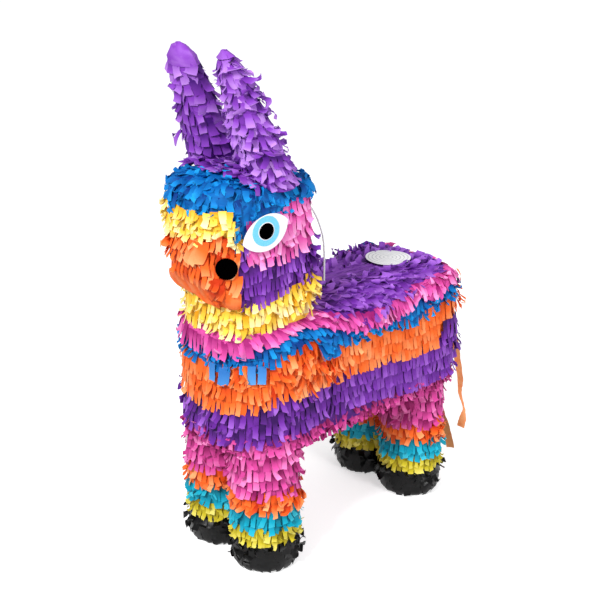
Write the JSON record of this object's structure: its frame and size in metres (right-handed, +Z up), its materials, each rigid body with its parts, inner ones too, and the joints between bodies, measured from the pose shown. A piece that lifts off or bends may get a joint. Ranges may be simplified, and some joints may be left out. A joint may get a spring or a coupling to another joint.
{
  "type": "donkey pinata",
  "caption": "Donkey-shaped hollow card pinata covered in bands of cut paper fringe, with a fill flap, a hanging cord and a streamer tail.",
  "frame": {"origin": "on the floor under the middle of the donkey, at the centre of its length and width", "axes": "+Z up, the donkey faces -Y, and its left side is +X"},
  "size_m": [0.168, 0.38, 0.581],
  "materials": {
    "card": "matte",
    "paper_purple": "matte",
    "paper_pink": "matte",
    "paper_blue": "matte",
    "paper_orange": "matte",
    "paper_yellow": "matte",
    "paper_turquoise": "matte",
    "paper_black": "matte",
    "eye_print": "satin",
    "label_paper": "matte",
    "white_cord": "matte",
    "anchor_wood": "matte"
  },
  "bodies": {
    "carcass": {"body_wall": "card", "back_panel": "card", "belly_panel": "card", "neck_wall": "card", "crown_panel": "card", "muzzle_shell": "card", "leg_tube_front_left": "card", "leg_tube_front_right": "card", "leg_tube_rear_left": "card", "leg_tube_rear_right": "card", "hoof_front_left": "paper_black", "hoof_front_right": "paper_black", "hoof_rear_left": "paper_black", "hoof_rear_right": "paper_black", "saddle_fringe": "paper_purple", "pink_band": "paper_pink", "blue_band": "paper_blue", "orange_band": "paper_orange", "purple_band": "paper_purple", "leg_pink_front_left": "paper_pink", "leg_pink_front_right": "paper_pink", "leg_pink_rear_left": "paper_pink", "leg_pink_rear_right": "paper_pink", "leg_orange_front_left": "paper_orange", "leg_orange_front_right": "paper_orange", "leg_orange_rear_left": "paper_orange", "leg_orange_rear_right": "paper_orange", "leg_turquoise_front_left": "paper_turquoise", "leg_turquoise_front_right": "paper_turquoise", "leg_turquoise_rear_left": "paper_turquoise", "leg_turquoise_rear_right": "paper_turquoise", "leg_yellow_front_left": "paper_yellow", "leg_yellow_front_right": "paper_yellow", "leg_yellow_rear_left": "paper_yellow", "leg_yellow_rear_right": "paper_yellow", "collar_yellow": "paper_yellow", "cheek_purple": "paper_purple", "cheek_pink": "paper_pink", "crown_blue": "paper_blue", "nose_yellow": "paper_yellow", "muzzle_orange": "paper_orange", "ear_core_left": "card", "ear_fringe_left": "paper_purple", "eye_card_left": "eye_print", "nostril_left": "paper_black", "ear_core_right": "card", "ear_fringe_right": "paper_purple", "eye_card_right": "eye_print", "nostril_right": "paper_black", "hang_cord": "white_cord", "cord_knots": "white_cord", "anchor_bar": "anchor_wood", "tail_tab": "card"},
    "flap": {"fill_flap": "card", "flap_fringe": "paper_purple", "flap_label": "label_paper"},
    "tail": {"tail_streamers": "paper_orange"}
  },
  "joints": [
    {"name": "flap_crease", "type": "hinge", "parent": "carcass", "child": "flap", "pos_m": [0, 0.1447, 0.2982], "axis": [-1, 0, 0], "range_deg": [0, 115]},
    {"name": "tail_swing", "type": "hinge", "parent": "carcass", "child": "tail", "pos_m": [0, 0.1821, 0.2505], "axis": [1, 0, 0], "range_deg": [0, 75]}
  ]
}
